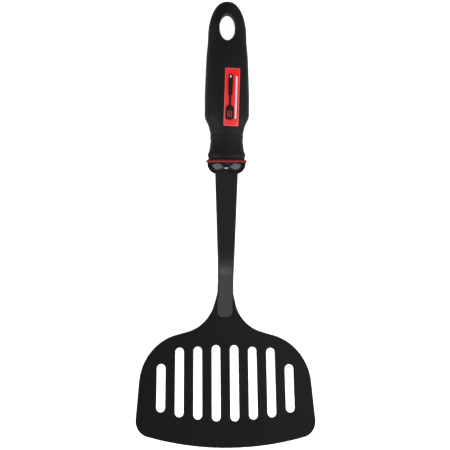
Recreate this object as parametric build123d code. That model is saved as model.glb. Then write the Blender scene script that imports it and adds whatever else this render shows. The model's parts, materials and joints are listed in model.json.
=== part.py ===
from build123d import *
import os
from math import atan2, copysign, cos, degrees, pi, radians, sin

# Slotted turner with a cranked nylon head, a bulb ferrule, an accent ring and a soft grip.
#
# Working frame, in mm: Y runs along the handle's axis towards the tail, X across it, and Z up, out of
# the face that carries the label. Y = 0 is the middle of the accent ring. The finished tool is laid down
# on its heel and its grip: see lay_down.

# Head and shank, in plan (half-widths across X)
SHANK_BACK_Y = -6.3
SHANK_ROOT_HALF = 8.42
SHANK_KNEE = (6.18, -72.0)
SHANK_NARROWEST = (5.82, -93.0)
STRIP_FLARE = (6.4, -111.5)
STRIP_END = (6.45, -117.4)
STRIP_END_RADIUS = 4.9
NECK_START = (5.5, -84.0)
NECK_UPPER = (5.5, -96.6)
NECK_LOWER = (12.2, -123.7)
SHOULDER = (61.9, -136.7)
FRONT_CORNER = (66.45, -198.3)
FRONT_Y = -208.3
NECK_UPPER_RADIUS = 38.0
NECK_LOWER_RADIUS = 28.2
SHOULDER_RADIUS = 37.0
FRONT_CORNER_RADIUS = 11.3

# Head and shank, in side view
SHANK_ROOT_TOP = 4.4
SHANK_ROOT_BOTTOM = -4.6
KNEE_TOP = (-75.28, 3.43)
KNEE_BOTTOM = (-73.2, -2.9)
KNEE_RADIUS = 40.0
KNEE_BACK_RADIUS = 34.0
HEEL = (-118.46, -21.5)
CRANK_SLOPE = degrees(atan2(KNEE_TOP[1] - HEEL[1], KNEE_TOP[0] - HEEL[0]))
BLADE_SLOPE = 26.0
STRIP_THICKNESS = 4.2
WING_DROP = 2.2
WING_RUN = 29.0
HEEL_RADIUS = 6.0
HEEL_THICKNESS = 3.0
TIP_THICKNESS = 1.2
SHANK_EDGE = 1.2
SHANK_BACK_EDGE = 1.8
SHEET_EDGE = 0.5

# Slots, from the middle pair outwards
SLOT_PITCH = 13.6
SLOT_WIDTH = 6.45
SLOT_TOPS = (-137.2, -138.4, -139.1, -150.8)
SLOT_MARGINS = (17.8, 18.2, 18.1, 18.9)
SLOT_EDGE = 0.35

# Tang inside the handle
TANG_ROOT = (12.0, 6.5)
TANG_END = (9.0, 5.0)
TANG_LENGTH = 68.0
TANG_PIN_Y = (22.0, 50.0)
PIN_RADIUS = 1.5
PIN_LENGTH = 12.0
PIN_PLAY = 0.1

# Grip: (y, half-width, half-depth, squareness of the section), from the ring to where the tail rounds off
GRIP_ROWS = (
    (1.0, 14.3, 12.1, 2.0),
    (3.3, 14.15, 12.0, 2.0),
    (9.3, 12.65, 10.9, 2.1),
    (15.2, 12.0, 10.5, 2.1),
    (21.1, 12.4, 10.8, 2.15),
    (24.0, 12.95, 11.1, 2.2),
    (27.0, 14.0, 11.4, 2.25),
    (30.0, 15.4, 11.7, 2.3),
    (32.8, 16.48, 11.9, 2.35),
    (46.0, 16.48, 12.1, 2.35),
    (59.6, 16.08, 11.6, 2.3),
    (77.3, 15.32, 10.2, 2.2),
    (91.0, 14.25, 8.5, 2.0),
)
TAIL_LENGTH = 27.1
TAIL_WIDTH_POWER = 0.88
TAIL_DEPTH_POWER = 0.9
TAIL_LAST_ANGLE = 86.0
STATION_STEP = 3.0
THINNEST_HALF_DEPTH = 0.3
SECTION_POINTS = 20
SLEEVE_WALL = 3.0
HANG_HOLE_Y = 98.5
HANG_HOLE = (11.6, 19.8)
HOLE_LINING = 2.0

# Core inside the grip
SPIGOT = (10.6, 8.6)
SPIGOT_DEPTH = 5.0
CORE_WALL = 2.4
RIB_THICKNESS = 1.8
RIB_PITCH = 16.0
CAVITY_START_Y = 5.0
CAVITY_END_Y = 84.0
PIN_BOSS_RADIUS = 4.0
FIT_PLAY = 0.05
TANG_PLAY = 0.1

# Ferrule and accent ring
RING_HALF_HEIGHT = 1.0
RING_OVAL = (15.15, 12.9)
RING_EDGE = 0.95
FERRULE_OVAL = (14.2, 12.0)
FERRULE_FRONT_Y = -9.5
FERRULE_NOSE_RADIUS = 8.0
FERRULE_REAR_EDGE = 0.4

# Label
LABEL_SIZE = (11.0, 42.4)
LABEL_CENTER = (3.3, 46.7)
LABEL_TURN = -1.6
LABEL_THICKNESS = 0.15
LABEL_CORNER = 0.6

# Limits of the working, not of the tool: a length past every part of it, how far solids overlap where
# they are joined or cut, how upright a face must be to look up or down, and the search for the tilt
REACH = 400.0
OVERLAP = 1.0
EDGE_GAP = 0.1
LEAST_FACING = 0.35
LARGEST_TILT = 10.0
TILT_STEP = 0.0005


def mirrored(points):
    return [(-x, y) for x, y in points]


def filled(points, radii):
    return make_face(FilletPolyline(*points, radius=radii, close=True))


def from_plan(face):
    """Outline in X and Y, carried through the whole height"""
    return extrude(face, REACH, both=True)


def from_side(face):
    """Outline in Y and Z, carried through the whole width"""
    return extrude(Plane.YZ * face, REACH, both=True)


def along(start, distance, slope):
    return (start[0] + distance * cos(radians(slope)), start[1] + distance * sin(radians(slope)))


def rim(body, side):
    """Edges around the faces that look up, for side 1, or down, for side -1"""
    faces = [face for face in body.faces() if side * face.normal_at().Z > LEAST_FACING]
    edges = [edge for face in faces for edge in face.edges()]
    return [edge for edge in edges if edges.count(edge) == 1]


def front_arc_radius():
    """Radius of the front edge's arc, through both front corners and the middle of the tip"""
    rise = FRONT_CORNER[1] - FRONT_Y
    return (FRONT_CORNER[0] ** 2 + rise ** 2) / (2 * rise)


def front_arc_y(x):
    radius = front_arc_radius()
    return FRONT_Y + radius - (radius ** 2 - x ** 2) ** 0.5


def head_outline():
    side = [NECK_START, NECK_UPPER, NECK_LOWER, SHOULDER, FRONT_CORNER]
    radii = [NECK_UPPER_RADIUS, NECK_LOWER_RADIUS, SHOULDER_RADIUS]
    right = FilletPolyline(*side, radius=radii)
    left = FilletPolyline(*mirrored(side), radius=radii)
    back = Line(side[0], mirrored(side)[0])
    front = ThreePointArc(side[-1], (0, FRONT_Y), mirrored(side)[-1])
    face = make_face([right, front, left, back])
    corners = [face.vertices().sort_by_distance(Vertex(*p))[0] for p in (side[-1], mirrored(side)[-1])]
    return fillet(corners, FRONT_CORNER_RADIUS)


def shank_outline():
    """Tapering shank that flares a little again along the strip, and ends round"""
    root = (SHANK_ROOT_HALF, SHANK_BACK_Y)
    side = [SHANK_KNEE, SHANK_NARROWEST, STRIP_FLARE]
    start = Vector(*SHANK_KNEE) - Vector(*root)
    finish = Vector(*STRIP_END) - Vector(*STRIP_FLARE)
    edges = [Line(root, mirrored([root])[0])]
    for mirror in (1, -1):
        edges.append(Line((mirror * root[0], root[1]), (mirror * SHANK_KNEE[0], SHANK_KNEE[1])))
        tangents = [(mirror * way.X, way.Y) for way in (start, finish)]
        edges.append(Spline(*[(mirror * x, y) for x, y in side], tangents=tangents))
    end = [STRIP_FLARE, STRIP_END] + mirrored([STRIP_END, STRIP_FLARE])
    edges.append(FilletPolyline(*end, radius=STRIP_END_RADIUS))
    return make_face(edges)


def slot_cutters():
    cutters = []
    for rank, (top, margin) in enumerate(zip(SLOT_TOPS, SLOT_MARGINS)):
        x = SLOT_PITCH * (rank + 0.5)
        bottom = front_arc_y(x) + margin
        slot = SlotOverall(top - bottom, SLOT_WIDTH, rotation=90)
        for side in (x, -x):
            cutters.append(from_plan(Pos(side, (top + bottom) / 2) * slot))
    return cutters


def make_sheet():
    """Head and the wings that join it to the shank: a sheet that thins towards the tip"""
    bend = CRANK_SLOPE + BLADE_SLOPE
    lean = (CRANK_SLOPE - BLADE_SLOPE) / 2
    top = along(HEEL, WING_DROP / sin(radians(bend)), -BLADE_SLOPE)
    bottom = along(top, HEEL_THICKNESS / cos(radians(bend / 2)), lean - 90)
    blade_run = (top[0] - FRONT_Y + OVERLAP) / cos(radians(BLADE_SLOPE))
    tip = along(top, blade_run, 180 - BLADE_SLOPE)
    tip_bottom = along(tip, TIP_THICKNESS, -90 - BLADE_SLOPE)
    side = [
        along(top, WING_RUN, CRANK_SLOPE),
        top,
        tip,
        tip_bottom,
        bottom,
        along(bottom, WING_RUN, CRANK_SLOPE),
    ]
    band = from_side(filled(side, [0, HEEL_RADIUS, 0, 0, HEEL_RADIUS + HEEL_THICKNESS, 0]))
    sheet = band & from_plan(head_outline())
    sheet = fillet(rim(sheet, 1) + rim(sheet, -1), SHEET_EDGE) - slot_cutters()
    slot_rims = [edge for face in sheet.faces() for wire in face.inner_wires() for edge in wire.edges()]
    return sheet.fillet(SLOT_EDGE, slot_rims)


def make_shank_bar():
    """Shank, down to the raised strip that it ends in on the head, rounded along its face and its back"""
    end = along(HEEL, OVERLAP, 180 + CRANK_SLOPE)
    profile = [
        (SHANK_BACK_Y, SHANK_ROOT_TOP),
        KNEE_TOP,
        end,
        along(end, STRIP_THICKNESS / cos(radians(CRANK_SLOPE)), -90),
        KNEE_BOTTOM,
        (SHANK_BACK_Y, SHANK_ROOT_BOTTOM),
    ]
    band = from_side(filled(profile, [0, KNEE_RADIUS, 0, 0, KNEE_BACK_RADIUS, 0]))
    bar = from_plan(shank_outline()) & band
    root = SHANK_BACK_Y - EDGE_GAP
    bar = fillet([edge for edge in rim(bar, 1) if edge.center().Y < root], SHANK_EDGE)
    return fillet([edge for edge in rim(bar, -1) if edge.center().Y < root], SHANK_BACK_EDGE)


def tang_shape(play):
    """Tang from just behind the shank's shoulder, or, with play, the room for it"""
    root = Plane.XZ * Rectangle(TANG_ROOT[0] + 2 * play, TANG_ROOT[1] + 2 * play)
    end = Plane.XZ * Rectangle(TANG_END[0] + 2 * play, TANG_END[1] + 2 * play)
    root_y = SHANK_BACK_Y - OVERLAP
    end_y = SHANK_BACK_Y + TANG_LENGTH + play
    return loft([Pos(0, root_y) * root, Pos(0, end_y) * end], ruled=True)


def pin_shapes(radius, length):
    return [Pos(0, y) * Cylinder(radius, length) for y in TANG_PIN_Y]


def make_blade_and_shank():
    body = make_shank_bar() + make_sheet() + tang_shape(0)
    return body - pin_shapes(PIN_RADIUS + PIN_PLAY, PIN_LENGTH)


def section(y, half_width, half_depth, squareness):
    """Closed oval across the handle: an ellipse at squareness 2, and boxier above that"""
    power = 2 / squareness
    points = []
    for step in range(SECTION_POINTS):
        angle = 2 * pi * step / SECTION_POINTS
        x = half_width * copysign(abs(cos(angle)) ** power, cos(angle))
        z = half_depth * copysign(abs(sin(angle)) ** power, sin(angle))
        points.append((x, y, z))
    return Wire([Spline(*points, periodic=True)])


def gradient(rank, column):
    here, there = GRIP_ROWS[rank], GRIP_ROWS[rank + 1]
    return (there[column] - here[column]) / (there[0] - here[0])


def row_slope(rank, column):
    """Slope of a column at one row, flat at its ends and wherever it turns, so that it never overshoots"""
    if rank in (0, len(GRIP_ROWS) - 1):
        return 0.0
    before, after = gradient(rank - 1, column), gradient(rank, column)
    if before * after <= 0:
        return 0.0
    return 2 * before * after / (before + after)


def profile(y, column):
    """A column of the grip's rows, at any place along it"""
    rank = max(k for k in range(len(GRIP_ROWS) - 1) if GRIP_ROWS[k][0] <= y)
    start, end = GRIP_ROWS[rank], GRIP_ROWS[rank + 1]
    span = end[0] - start[0]
    t = (y - start[0]) / span
    held = (1 + 2 * t) * (1 - t) ** 2 * start[column] + t ** 2 * (3 - 2 * t) * end[column]
    turned = (1 - t) * row_slope(rank, column) - t * row_slope(rank + 1, column)
    return held + t * (1 - t) * span * turned


def grip_stations():
    """(y, half-width, half-depth, squareness) at even steps along the grip's surface"""
    first, last = GRIP_ROWS[0], GRIP_ROWS[-1]
    steps = round((last[0] - first[0]) / STATION_STEP)
    places = [first[0] + (last[0] - first[0]) * step / steps for step in range(steps)]
    stations = [(y, profile(y, 1), profile(y, 2), profile(y, 3)) for y in places]
    tail_steps = round(radians(TAIL_LAST_ANGLE) * TAIL_LENGTH / STATION_STEP)
    for step in range(tail_steps + 1):
        angle = radians(TAIL_LAST_ANGLE) * step / tail_steps
        width = last[1] * cos(angle) ** TAIL_WIDTH_POWER
        depth = last[2] * cos(angle) ** TAIL_DEPTH_POWER
        stations.append((last[0] + TAIL_LENGTH * sin(angle), width, depth, last[3]))
    return stations


def handle_shape(inset):
    """The grip's outer form, moved inwards by inset, and ending where it gets too thin"""
    stations = [row for row in grip_stations() if row[2] > inset + THINNEST_HALF_DEPTH]
    return Solid.make_loft([section(y, width - inset, depth - inset, n) for y, width, depth, n in stations])


def hang_hole(lining):
    return from_plan(Pos(0, HANG_HOLE_Y) * Ellipse(HANG_HOLE[0] / 2 + lining, HANG_HOLE[1] / 2 + lining))


def oval_disc(oval, front_y, back_y):
    """Elliptical disc or plug across the handle, between two places along Y"""
    return extrude(Pos(0, back_y) * (Plane.XZ * Ellipse(*oval)), back_y - front_y)


def make_core_form():
    """The core without its cavities: what the sleeve is moulded over"""
    spigot = oval_disc(SPIGOT, -RING_HALF_HEIGHT - SPIGOT_DEPTH, RING_HALF_HEIGHT)
    return handle_shape(SLEEVE_WALL) - hang_hole(HOLE_LINING) + spigot


def make_cavities():
    """Hollows between the core's ribs, less the bosses that the pins sit in"""
    inside = handle_shape(SLEEVE_WALL + CORE_WALL)
    cell_count = int((CAVITY_END_Y - CAVITY_START_Y) / RIB_PITCH)
    cell_length = RIB_PITCH - RIB_THICKNESS
    cells = []
    for rank in range(cell_count):
        middle = CAVITY_START_Y + rank * RIB_PITCH + cell_length / 2
        cells.append(Pos(0, middle) * Box(REACH, cell_length, REACH))
    return [(inside & cell) - pin_shapes(PIN_BOSS_RADIUS, REACH) for cell in cells]


def make_core_halves():
    core = make_core_form() - make_cavities()
    core = core - tang_shape(TANG_PLAY) - pin_shapes(PIN_RADIUS + FIT_PLAY, PIN_LENGTH + PIN_PLAY)
    upper_side = Pos(0, 0, REACH / 2) * Box(REACH, REACH, REACH)
    return core & upper_side, core - upper_side


def make_grip_sleeve():
    return handle_shape(0) - make_core_form() - hang_hole(0)


def make_accent_ring():
    ring = oval_disc(RING_OVAL, -RING_HALF_HEIGHT, RING_HALF_HEIGHT)
    ring = fillet(ring.edges(), RING_EDGE)
    return ring - spigot_room(REACH)


def spigot_room(depth):
    """Room for the core's spigot, going in from the ring's back face"""
    room = (SPIGOT[0] + FIT_PLAY, SPIGOT[1] + FIT_PLAY)
    return oval_disc(room, RING_HALF_HEIGHT - depth, RING_HALF_HEIGHT)


def make_ferrule():
    bulb = oval_disc(FERRULE_OVAL, FERRULE_FRONT_Y, -RING_HALF_HEIGHT)
    edges = bulb.edges().sort_by(Axis.Y)
    bulb = fillet(edges[0], FERRULE_NOSE_RADIUS)
    bulb = fillet(bulb.edges().sort_by(Axis.Y)[-1], FERRULE_REAR_EDGE)
    socket = spigot_room(SPIGOT_DEPTH + 2 * RING_HALF_HEIGHT + FIT_PLAY)
    return bulb - socket - shank_passage()


def shank_passage():
    """Opening in the ferrule's nose, just clear of the shank"""
    half = SHANK_ROOT_HALF + TANG_PLAY
    top = SHANK_ROOT_TOP + TANG_PLAY
    bottom = SHANK_ROOT_BOTTOM - TANG_PLAY
    corners = [(half, top), (-half, top), (-half, bottom), (half, bottom)]
    radii = [SHANK_EDGE, SHANK_EDGE, SHANK_BACK_EDGE, SHANK_BACK_EDGE]
    return extrude(Plane.XZ * filled(corners, radii), REACH)


def make_label():
    """Sticker that follows the grip's face"""
    sheet = RectangleRounded(*LABEL_SIZE, LABEL_CORNER)
    prism = extrude(Pos(*LABEL_CENTER) * Rot(Z=LABEL_TURN) * sheet, REACH)
    return (handle_shape(-LABEL_THICKNESS) & prism) - handle_shape(0)


def lowest(shape, tilt):
    return (Rot(X=-tilt) * shape).bounding_box().min.Z


def resting_tilt(blade, grip):
    """Turn about X, head upwards, that brings the heel and the grip's underside to one level"""
    low, high = 0.0, LARGEST_TILT
    while high - low > TILT_STEP:
        middle = (low + high) / 2
        if lowest(blade, middle) < lowest(grip, middle):
            low = middle
        else:
            high = middle
    return (low + high) / 2


def lay_down(shapes):
    """The same pieces, resting on Z = 0, with the middle of their footprint at the origin"""
    turn = Rot(X=-resting_tilt(shapes["blade_and_shank"], shapes["grip_sleeve"]))
    box = Compound(children=[turn * shape for shape in shapes.values()]).bounding_box()
    shift = Pos(-box.center().X, -box.center().Y, -box.min.Z)
    return {name: shift * turn * shape for name, shape in shapes.items()}


def make_pieces():
    core_upper_half, core_lower_half = make_core_halves()
    return {
        "blade_and_shank": make_blade_and_shank(),
        "ferrule": make_ferrule(),
        "accent_ring": make_accent_ring(),
        "core_upper_half": core_upper_half,
        "core_lower_half": core_lower_half,
        "tang_pins": Compound(pin_shapes(PIN_RADIUS, PIN_LENGTH)),
        "grip_sleeve": make_grip_sleeve(),
        "label": make_label(),
    }


def main():
    os.makedirs("parts", exist_ok=True)
    for name, shape in lay_down(make_pieces()).items():
        export_step(shape, f"parts/{name}.step")


if __name__ == "__main__":
    main()
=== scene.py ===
import bmesh
import bpy
import json
from math import cos, pi, radians, sin
from mathutils import Matrix, Vector
from mathutils.bvhtree import BVHTree


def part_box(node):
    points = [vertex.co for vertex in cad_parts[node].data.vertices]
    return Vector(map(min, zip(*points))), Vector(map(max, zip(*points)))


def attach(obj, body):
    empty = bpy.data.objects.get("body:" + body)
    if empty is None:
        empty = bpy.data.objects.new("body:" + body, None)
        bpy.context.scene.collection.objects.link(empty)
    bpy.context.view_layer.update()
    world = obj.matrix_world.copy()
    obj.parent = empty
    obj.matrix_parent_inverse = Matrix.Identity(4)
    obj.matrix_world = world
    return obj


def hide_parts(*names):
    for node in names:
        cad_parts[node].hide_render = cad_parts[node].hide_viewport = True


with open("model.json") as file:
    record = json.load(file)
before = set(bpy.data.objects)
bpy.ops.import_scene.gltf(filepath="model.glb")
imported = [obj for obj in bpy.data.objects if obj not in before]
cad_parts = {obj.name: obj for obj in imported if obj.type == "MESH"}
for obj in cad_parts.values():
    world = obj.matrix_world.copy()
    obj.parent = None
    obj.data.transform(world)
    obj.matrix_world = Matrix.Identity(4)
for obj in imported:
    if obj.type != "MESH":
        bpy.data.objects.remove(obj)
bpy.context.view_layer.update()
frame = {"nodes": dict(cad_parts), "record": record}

# ---------------------------------------------------------------------------------------------------
# The tool's own frame, in mm: Y along the handle towards the tail, X across it, Z out of the face that
# carries the label, and the origin in the middle of the accent ring. Camera and print are placed in it.
# ---------------------------------------------------------------------------------------------------
MM = 0.001


def tool_matrix():
    mount = next(m for m in frame["record"]["mounts"] if m["name"] == "hang_hole")
    face = Vector(mount["axis"]).normalized()
    along = Vector((0.0, face.z, -face.y))
    across = along.cross(face)
    low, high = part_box("accent_ring")
    turn = Matrix((across, along, face)).transposed().to_4x4()
    return Matrix.Translation((low + high) / 2) @ turn


TOOL = tool_matrix()


def place(point):
    """A point of the tool's own frame, in the scene's metres"""
    return TOOL @ (Vector(point) * MM)


# Camera: place in the tool's frame (mm), turns about X, Y and Z (degrees), lens and sensor (mm) -------
CAMERA_PLACE = (-28.6, -40.9, 924.4)
CAMERA_TURN = (-0.387, -1.716, 0.311)
CAMERA_LENS = 100.0
CAMERA_SENSOR = 36.0
CAMERA_NEAR = 0.01

# Floor and dome: sizes in m, and a matt pale finish that glows --------------------------------------
FLOOR_RADIUS = 3.0
FLOOR_GAP = 0.0004
FLOOR_GLOW = 0.9
DOME_GLOW = 0.92
STAGE_STEPS = 64
STAGE_GREY = 0.8
STAGE_ROUGHNESS = 0.9
STAGE_SPECULAR = 0.1
WORLD_STRENGTH = 0.06

# Lights: name, place (m), aim (m), size (m), power (W), colour --------------------------------------
LIGHTS = (
    ("left_box", (-0.85, -0.55, 0.60), (0.0, 0.0, 0.0), (1.1, 1.2), 13.0, (1.0, 0.96, 0.90)),
    ("right_box", (0.85, -0.52, 0.60), (0.0, 0.0, 0.0), (1.1, 1.2), 13.5, (0.94, 0.97, 1.0)),
    ("front_light", (-0.02, -0.84, 0.73), (0.0, -0.05, 0.0), (0.14, 0.10), 3.5, (0.91, 0.95, 1.0)),
    ("back_box", (0.35, 0.95, 0.72), (0.0, -0.05, 0.0), (0.5, 0.5), 1.6, (1.0, 0.99, 0.98)),
    ("top_box", (0.12, 0.10, 1.4), (0.0, 0.0, 0.0), (0.7, 0.7), 1.0, (0.98, 0.99, 1.0)),
)


def make_camera():
    data = bpy.data.cameras.new("camera")
    data.lens = CAMERA_LENS
    data.sensor_width = CAMERA_SENSOR
    data.clip_start = CAMERA_NEAR
    camera = bpy.data.objects.new("camera", data)
    bpy.context.scene.collection.objects.link(camera)
    about_x, about_y, about_z = (
        Matrix.Rotation(radians(angle), 4, axis) for angle, axis in zip(CAMERA_TURN, "XYZ")
    )
    turn = TOOL.to_3x3().to_4x4() @ about_z @ about_y @ about_x
    camera.matrix_world = Matrix.Translation(place(CAMERA_PLACE)) @ turn
    bpy.context.scene.camera = camera


def pale_material(name, glow):
    material = bpy.data.materials.new(name)
    material.use_nodes = True
    sockets = material.node_tree.nodes["Principled BSDF"].inputs
    sockets["Base Color"].default_value = (STAGE_GREY, STAGE_GREY, STAGE_GREY, 1.0)
    sockets["Roughness"].default_value = STAGE_ROUGHNESS
    sockets["Specular IOR Level"].default_value = STAGE_SPECULAR
    sockets["Emission Color"].default_value = (1.0, 1.0, 1.0, 1.0)
    sockets["Emission Strength"].default_value = glow
    return material


def make_stage():
    """A pale glowing table top that nothing mirrors, and a pale dome around it that only the camera sees"""
    shape = bmesh.new()
    bmesh.ops.create_circle(shape, cap_ends=True, segments=STAGE_STEPS, radius=FLOOR_RADIUS)
    bmesh.ops.translate(shape, verts=shape.verts, vec=(0.0, 0.0, -FLOOR_GAP))
    floor = new_piece("floor", shape, pale_material("floor", FLOOR_GLOW))
    floor.visible_glossy = False
    shape = bmesh.new()
    bmesh.ops.create_uvsphere(
        shape, u_segments=STAGE_STEPS, v_segments=STAGE_STEPS // 2, radius=FLOOR_RADIUS
    )
    bmesh.ops.reverse_faces(shape, faces=shape.faces)
    dome = new_piece("dome", shape, pale_material("dome", DOME_GLOW))
    dome.visible_glossy = dome.visible_diffuse = dome.visible_shadow = dome.visible_transmission = False


def make_lights():
    for name, spot, aim, size, power, colour in LIGHTS:
        data = bpy.data.lights.new(name, "AREA")
        data.shape = "RECTANGLE"
        data.size, data.size_y = size
        data.energy = power
        data.color = colour
        light = bpy.data.objects.new(name, data)
        bpy.context.scene.collection.objects.link(light)
        light.location = spot
        light.rotation_euler = (Vector(aim) - Vector(spot)).to_track_quat("-Z", "Y").to_euler()


def make_world():
    world = bpy.data.worlds.new("world")
    bpy.context.scene.world = world
    world.use_nodes = True
    background = world.node_tree.nodes["Background"]
    background.inputs["Color"].default_value = (1.0, 1.0, 1.0, 1.0)
    background.inputs["Strength"].default_value = WORLD_STRENGTH


# Making pieces -------------------------------------------------------------------------------------
def new_piece(name, shape, material):
    """A new object from a bmesh, with one material"""
    mesh = bpy.data.meshes.new(name)
    shape.to_mesh(mesh)
    shape.free()
    mesh.materials.append(material)
    piece = bpy.data.objects.new(name, mesh)
    bpy.context.scene.collection.objects.link(piece)
    return piece


def ride_for(piece, slot, *nodes):
    """The piece rides on the one body and may stand for CAD nodes, which are hidden; the slot is not used
    """
    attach(piece, "root")
    if nodes:
        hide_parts(*nodes)


def bake_modifiers(piece):
    mesh = bpy.data.meshes.new_from_object(piece.evaluated_get(bpy.context.evaluated_depsgraph_get()))
    piece.modifiers.clear()
    piece.data = mesh


def smooth_faces(piece):
    for face in piece.data.polygons:
        face.use_smooth = True


# Grip ----------------------------------------------------------------------------------------------
GRIP_VOXEL = 0.55 * MM
GRIP_SMOOTHING = 3
GRIP_SMOOTH_SHARE = 0.5


def make_grip(material):
    """The soft sleeve, remeshed finely so that the rims of its hang hole and its mouth are soft too"""
    shape = bmesh.new()
    shape.from_mesh(frame["nodes"]["grip_sleeve"].data)
    grip = new_piece("soft_grip", shape, material)
    remesh = grip.modifiers.new("remesh", "REMESH")
    remesh.mode = "VOXEL"
    remesh.voxel_size = GRIP_VOXEL
    smooth = grip.modifiers.new("smooth", "SMOOTH")
    smooth.factor = GRIP_SMOOTH_SHARE
    smooth.iterations = GRIP_SMOOTHING
    bake_modifiers(grip)
    smooth_faces(grip)
    ride_for(grip, "grip_rubber", "grip_sleeve")


# ---------------------------------------------------------------------------------------------------
# Label print: a plain picture of a slotted turner, a plain line beside it and a paler border. Sizes are
# in mm from the label's middle, across and along it, and boxes are left, bottom, right, top.
# ---------------------------------------------------------------------------------------------------
LABEL_TURN = radians(-1.6)
LABEL_HALF = (5.5, 21.2)
TURNER_X = -1.25
TURNER_HALF = (  # right half of the outline, from the handle's end down to the head's
    (0.0, 17.0), (1.6, 16.8), (1.9, 10.0), (1.5, 3.0), (1.9, 2.0), (0.95, 1.4), (0.85, -5.0),
    (1.2, -6.4), (2.8, -7.0), (3.1, -9.4), (3.35, -16.2), (0.0, -17.0),
)
TURNER_SLOTS_X = (-1.4, 0.0, 1.4)
TURNER_SLOT_HALF = 0.22
TURNER_SLOT_ENDS = (-14.9, -10.2)
TURNER_HOLE_HALF = 0.5
TURNER_HOLE_ENDS = (14.0, 16.0)
LINE_BOX = (2.5, -15.6, 3.75, 15.2)
SLOT_CORNER, HOLE_CORNER, LINE_CORNER, BORDER_CORNER = 0.2, 0.48, 0.3, 0.2
BORDER_INSET = 0.15
BORDER = 0.45
BORDER_GAP = 0.03
CORNER_CUTS = (0.22, 0.78)
CORNER_ROUNDS = 3
ARC_STEPS = 8

# How the print is laid on the label: it stands INK_HEIGHT for each level and is rooted INK_ROOT deep
INK_HEIGHT = 0.035
INK_ROOT = 0.03
INK_CELL = 0.6
SHORTEST_EDGE = 0.008
RAY_HEIGHT = 60.0


def label_place():
    """Turns a place on the label, in mm from its middle, into one in the tool's frame"""
    low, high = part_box("label")
    middle = TOOL.inverted() @ ((low + high) / 2) / MM
    c, s = cos(LABEL_TURN), sin(LABEL_TURN)
    return lambda u, v: (middle.x + c * u - s * v, middle.y + s * u + c * v)


def rounded(left, bottom, right, top, radius):
    """Outline of a rectangle with round corners"""
    corners = ((right, top), (left, top), (left, bottom), (right, bottom))
    points = []
    for quarter, (x, y) in enumerate(corners):
        x += radius if x == left else -radius
        y += radius if y == bottom else -radius
        for step in range(ARC_STEPS + 1):
            angle = (quarter + step / ARC_STEPS) * pi / 2
            points.append((x + radius * cos(angle), y + radius * sin(angle)))
    return points


def smooth_outline(points):
    """Rounds an outline's corners by cutting them again and again"""
    for _ in range(CORNER_ROUNDS):
        cut = []
        for here, there in zip(points, points[1:] + points[:1]):
            for share in CORNER_CUTS:
                cut.append(tuple(a + (b - a) * share for a, b in zip(here, there)))
        points = cut
    return points


def turner_outline():
    """Head below, shank, and handle above, all in one outline"""
    left = [(-x, y) for x, y in reversed(TURNER_HALF[1:-1])]
    return [(TURNER_X + x, y) for x, y in smooth_outline([*TURNER_HALF, *left])]


def across_turner(middle, half, ends, radius):
    """Outline of a round-ended opening in the turner"""
    return rounded(TURNER_X + middle - half, ends[0], TURNER_X + middle + half, ends[1], radius)


def border_outlines():
    half_u, half_v = (half - BORDER_INSET for half in LABEL_HALF)
    inner_u, inner_v = half_u - BORDER, half_v - BORDER
    end_u = inner_u - BORDER_GAP
    boxes = (
        (-half_u, -half_v, -inner_u, half_v),
        (inner_u, -half_v, half_u, half_v),
        (-end_u, -half_v, end_u, -inner_v),
        (-end_u, inner_v, end_u, half_v),
    )
    return [rounded(*box, BORDER_CORNER) for box in boxes]


def cut_into_cells(shape):
    """Cuts flat print across and along into cells small enough to follow the label's curve"""
    for axis in (0, 1):
        normal = [0.0, 0.0, 0.0]
        normal[axis] = 1.0
        for step in range(1, int(2 * LABEL_HALF[axis] / INK_CELL)):
            spot = [0.0, 0.0, 0.0]
            spot[axis] = -LABEL_HALF[axis] + step * INK_CELL
            everything = shape.verts[:] + shape.edges[:] + shape.faces[:]
            bmesh.ops.bisect_plane(shape, geom=everything, plane_co=spot, plane_no=normal)
    bmesh.ops.remove_doubles(shape, verts=shape.verts, dist=SHORTEST_EDGE)


def ink_shape(outlines, level):
    """Thin print that follows the label's face: each outline filled, cut into cells and laid on it"""
    spread = label_place()
    face_tree = BVHTree.FromObject(frame["nodes"]["label"], bpy.context.evaluated_depsgraph_get())
    up = (place((0, 0, 1)) - place((0, 0, 0))).normalized()
    shape = bmesh.new()
    for outline in outlines:
        shape.faces.new([shape.verts.new((u, v, 0.0)) for u, v in outline])
    cut_into_cells(shape)
    raised = bmesh.ops.extrude_face_region(shape, geom=shape.faces[:])["geom"]
    top = {item for item in raised if isinstance(item, bmesh.types.BMVert)}
    bmesh.ops.recalc_face_normals(shape, faces=shape.faces)
    for vert in shape.verts:
        x, y = spread(vert.co.x, vert.co.y)
        hit = face_tree.ray_cast(place((x, y, RAY_HEIGHT)), -up)[0]
        lift = level * INK_HEIGHT if vert in top else -INK_ROOT
        vert.co = hit + up * lift * MM
    bmesh.ops.recalc_face_normals(shape, faces=shape.faces)
    return shape


def make_print(black, white, pale, red):
    """The label's print. What lies on other print is one level higher"""
    slots = [
        across_turner(x, TURNER_SLOT_HALF, TURNER_SLOT_ENDS, SLOT_CORNER) for x in TURNER_SLOTS_X
    ]
    hole = across_turner(0.0, TURNER_HOLE_HALF, TURNER_HOLE_ENDS, HOLE_CORNER)
    prints = (
        ("print_turner", [turner_outline()], black, 1),
        ("print_turner_slots", slots, red, 2),
        ("print_turner_hole", [hole], white, 2),
        ("print_line", [rounded(*LINE_BOX, LINE_CORNER)], white, 1),
        ("print_border", border_outlines(), pale, 1),
    )
    for name, outlines, material, level in prints:
        ride_for(new_piece(name, ink_shape(outlines, level), material), "label_red")


# ---------------------------------------------------------------------------------------------------
# Materials. Noise scales are in cycles per metre. A pair is what the noise goes from and to.
# ---------------------------------------------------------------------------------------------------
NOISE_DETAIL = 3.0
NOISE_ROUGHNESS = 0.55
NOISE_SPAN = (0.35, 0.65)

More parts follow.
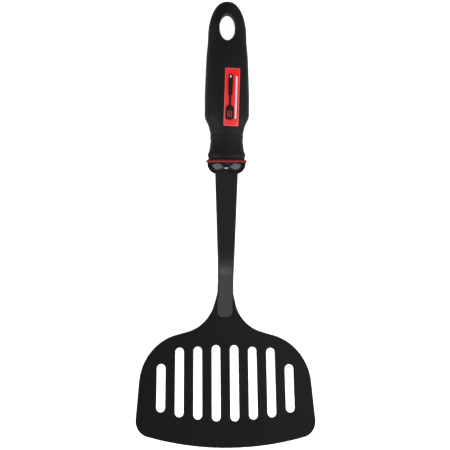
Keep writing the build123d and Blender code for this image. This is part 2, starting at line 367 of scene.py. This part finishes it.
# Wings mask: how far from the middle of the strip it starts and is full (mm), the middle of the strip's
# round end, and the wings' lower and upper ends (tool's frame), each with half the width of its fade (m)
STRIP_SIDE = (6.1, 6.5)
STRIP_ROUND = (0.0, -111.2, -17.3)
WINGS_LOW = (0.0, -117.4, -21.0)
WINGS_HIGH = (0.0, -95.0, -8.0)
LOW_FADE = 0.0012
HIGH_FADE = 0.003

NYLON_TONE = ((0.0044, 0.0045, 0.0053), (0.0061, 0.0063, 0.0073))
NYLON_ROUGHNESS = (0.37, 0.46)
NYLON_GRAIN_SHARE, NYLON_STREAK_SHARE = 0.4, 0.6
WINGS_EXTRA_ROUGHNESS = 0.30
STRIP_TO_WINGS_SPECULAR = (0.30, 0.14)
NYLON_BUMP = 0.10
GRIP_TONE = ((0.0074, 0.0074, 0.0078), (0.0100, 0.0100, 0.0106))
GRIP_ROUGHNESS = (0.50, 0.60)
GRIP_BUMP = 0.2
BUMP_DEPTH = 0.0002
# Label red: painted shade and painted glare over the film's own red, darker and paler along the label
# towards the head end, with a little random mottle
LABEL_RED_AND_PAINTED_SHADE = ((0.72, 0.034, 0.038), (0.95, 0.018, 0.024))
PAINTED_SHADE_SPREAD = (0.0, 1.2)
LABEL_MOTTLE = 0.2


class Shader:
    """A material's node tree, with short ways to add to it"""

    def __init__(self, name):
        self.material = bpy.data.materials.new(name)
        self.material.use_nodes = True
        self.nodes = self.material.node_tree.nodes
        self.links = self.material.node_tree.links
        self.main = self.nodes["Principled BSDF"]
        places = self.nodes.new("ShaderNodeTexCoord").outputs
        self.place = places["Object"]
        self.share = places["Generated"]

    def set(self, **values):
        for name, value in values.items():
            self.main.inputs[name.replace("_", " ")].default_value = value

    def feed(self, socket, value):
        self.links.new(value, self.main.inputs[socket])

    def axes(self, vector):
        """The vector's X, Y and Z"""
        node = self.nodes.new("ShaderNodeSeparateXYZ")
        self.links.new(vector, node.inputs["Vector"])
        return node.outputs

    def noise(self, scale, detail=NOISE_DETAIL, stretch=None):
        node = self.nodes.new("ShaderNodeTexNoise")
        node.inputs["Scale"].default_value = scale
        node.inputs["Detail"].default_value = detail
        node.inputs["Roughness"].default_value = NOISE_ROUGHNESS
        source = self.place
        if stretch:
            mapping = self.nodes.new("ShaderNodeMapping")
            mapping.inputs["Scale"].default_value = stretch
            self.links.new(self.place, mapping.inputs["Vector"])
            source = mapping.outputs["Vector"]
        self.links.new(source, node.inputs["Vector"])
        return node.outputs["Fac"]

    def math(self, operation, a, b=0.0):
        node = self.nodes.new("ShaderNodeMath")
        node.operation = operation
        for socket, value in zip(node.inputs, (a, b)):
            if isinstance(value, (int, float)):
                socket.default_value = value
            else:
                self.links.new(value, socket)
        return node.outputs["Value"]

    def ramp(self, value, low, high, start=NOISE_SPAN[0], end=NOISE_SPAN[1]):
        """Maps a value from start..end to low..high, which are numbers or colours"""
        if isinstance(low, tuple):
            node = self.nodes.new("ShaderNodeValToRGB")
            for stop, spot, colour in zip(node.color_ramp.elements, (start, end), (low, high)):
                stop.position = spot
                stop.color = (*colour, 1.0)
            self.links.new(value, node.inputs["Fac"])
            return node.outputs["Color"]
        node = self.nodes.new("ShaderNodeMapRange")
        for socket, number in zip(("From Min", "From Max", "To Min", "To Max"), (start, end, low, high)):
            node.inputs[socket].default_value = number
        self.links.new(value, node.inputs["Value"])
        return node.outputs["Result"]

    def bump(self, height, strength):
        node = self.nodes.new("ShaderNodeBump")
        node.inputs["Strength"].default_value = strength
        node.inputs["Distance"].default_value = BUMP_DEPTH
        self.links.new(height, node.inputs["Height"])
        self.feed("Normal", node.outputs["Normal"])


def wings_mask(shader):
    """1 on the wings beside the raised strip and on the corners of its round end, and 0 elsewhere"""
    axes = shader.axes(shader.place)
    past = shader.math("MAXIMUM", shader.math("SUBTRACT", place(STRIP_ROUND).y, axes["Y"]))
    squares = [shader.math("MULTIPLY", value, value) for value in (axes["X"], past)]
    reach = shader.math("SQRT", shader.math("ADD", *squares))
    outside = shader.ramp(reach, 0.0, 1.0, *(side * MM for side in STRIP_SIDE))
    low, high = place(WINGS_LOW).y, place(WINGS_HIGH).y
    above = shader.ramp(axes["Y"], 0.0, 1.0, low - LOW_FADE, low + LOW_FADE)
    below = shader.ramp(axes["Y"], 1.0, 0.0, high - HIGH_FADE, high + HIGH_FADE)
    return shader.math("MULTIPLY", outside, shader.math("MULTIPLY", above, below))


def nylon():
    """Satin nylon, duller on the wings beside the strip"""
    shader = Shader("blade_nylon")
    shader.feed("Base Color", shader.ramp(shader.noise(scale=45.0, detail=4.0), *NYLON_TONE))
    grain = shader.noise(scale=2600.0, detail=2.0)
    streaks = shader.noise(scale=30.0, detail=5.0, stretch=(6.0, 1.0, 1.0))
    shares = (
        shader.math("MULTIPLY", grain, NYLON_GRAIN_SHARE),
        shader.math("MULTIPLY", streaks, NYLON_STREAK_SHARE),
    )
    satin = shader.ramp(shader.math("ADD", *shares), *NYLON_ROUGHNESS)
    wings = wings_mask(shader)
    extra = shader.math("MULTIPLY", wings, WINGS_EXTRA_ROUGHNESS)
    shader.feed("Roughness", shader.math("ADD", satin, extra))
    shader.feed("Specular IOR Level", shader.ramp(wings, *STRIP_TO_WINGS_SPECULAR, 0.0, 1.0))
    shader.bump(grain, NYLON_BUMP)
    return shader.material


def soft_grip():
    """Matt soft plastic with a fine grain, and a little sheen towards its edges"""
    shader = Shader("grip_rubber")
    shader.feed("Base Color", shader.ramp(shader.noise(scale=60.0, detail=4.0), *GRIP_TONE))
    shader.feed("Roughness", shader.ramp(shader.noise(scale=90.0), *GRIP_ROUGHNESS))
    shader.set(Specular_IOR_Level=0.16, Sheen_Weight=0.26, Sheen_Roughness=0.35)
    shader.bump(shader.noise(scale=3200.0), GRIP_BUMP)
    return shader.material


def label_film():
    """Printed film with painted shade and painted glare: its red goes darker and paler towards the end by
    the head
    """
    shader = Shader("label_red")
    mottle = shader.math("MULTIPLY", shader.noise(scale=150.0), LABEL_MOTTLE)
    # painted shade and painted glare: the red ramp runs along the label, darker and paler towards the head
    # end; the mottle is random tone
    mottle_and_painted_shade = shader.math("ADD", shader.axes(shader.share)["Y"], mottle)
    shader.feed("Base Color", shader.ramp(mottle_and_painted_shade, *LABEL_RED_AND_PAINTED_SHADE, *PAINTED_SHADE_SPREAD))
    shader.feed("Roughness", shader.ramp(shader.noise(scale=400.0), 0.34, 0.44))
    shader.set(Specular_IOR_Level=0.3)
    return shader.material


def plain(name, tone_noise, tones, rough_noise, roughness, **sockets):
    """A finish whose tone and roughness each follow a noise, given as the noise's own settings"""
    shader = Shader(name)
    shader.feed("Base Color", shader.ramp(shader.noise(**tone_noise), *tones))
    shader.feed("Roughness", shader.ramp(shader.noise(**rough_noise), *roughness))
    shader.set(**sockets)
    return shader.material


def gloss_black():
    tones = ((0.004, 0.004, 0.0044), (0.006, 0.006, 0.0066))
    return plain("ferrule_gloss", {"scale": 80.0}, tones, {"scale": 220.0, "detail": 4.0}, (0.18, 0.22))


def ring_red():
    tones = ((0.155, 0.012, 0.012), (0.20, 0.015, 0.015))
    return plain(
        "ring_red", {"scale": 150.0}, tones, {"scale": 400.0}, (0.36, 0.46), Specular_IOR_Level=0.26
    )


def ink(name, *tones):
    return plain(
        name, {"scale": 700.0}, tones, {"scale": 500.0}, (0.42, 0.55), Specular_IOR_Level=0.25
    )


def core_plastic():
    tones = ((0.028, 0.028, 0.03), (0.034, 0.034, 0.036))
    return plain("core_plastic", {"scale": 80.0}, tones, {"scale": 500.0}, (0.48, 0.6))


def pin_steel():
    """Drawn steel, with its grain along the pin"""
    tones = ((0.55, 0.55, 0.56), (0.64, 0.64, 0.64))
    drawn = {"scale": 900.0, "stretch": (1.0, 1.0, 0.1)}
    return plain("pin_steel", {"scale": 300.0}, tones, drawn, (0.22, 0.36), Metallic=1.0)


def dress(node, material):
    """Gives a CAD node its finish"""
    for slot in frame["nodes"][node].material_slots:
        slot.material = material


make_camera()
make_stage()
make_lights()
make_world()
bpy.context.scene.view_settings.view_transform = "Standard"

core = core_plastic()
red = label_film()
dress("blade_and_shank", nylon())
dress("ferrule", gloss_black())
dress("accent_ring", ring_red())
dress("label", red)
dress("core_upper_half", core)
dress("core_lower_half", core)
dress("tang_pins", pin_steel())
make_grip(soft_grip())
make_print(
    black=ink("print_black", (0.006, 0.005, 0.005), (0.010, 0.008, 0.008)),
    white=ink("print_white", (0.80, 0.66, 0.66), (0.88, 0.74, 0.74)),
    pale=ink("print_pale_red", (0.66, 0.13, 0.13), (0.74, 0.17, 0.17)),
    red=red,
)
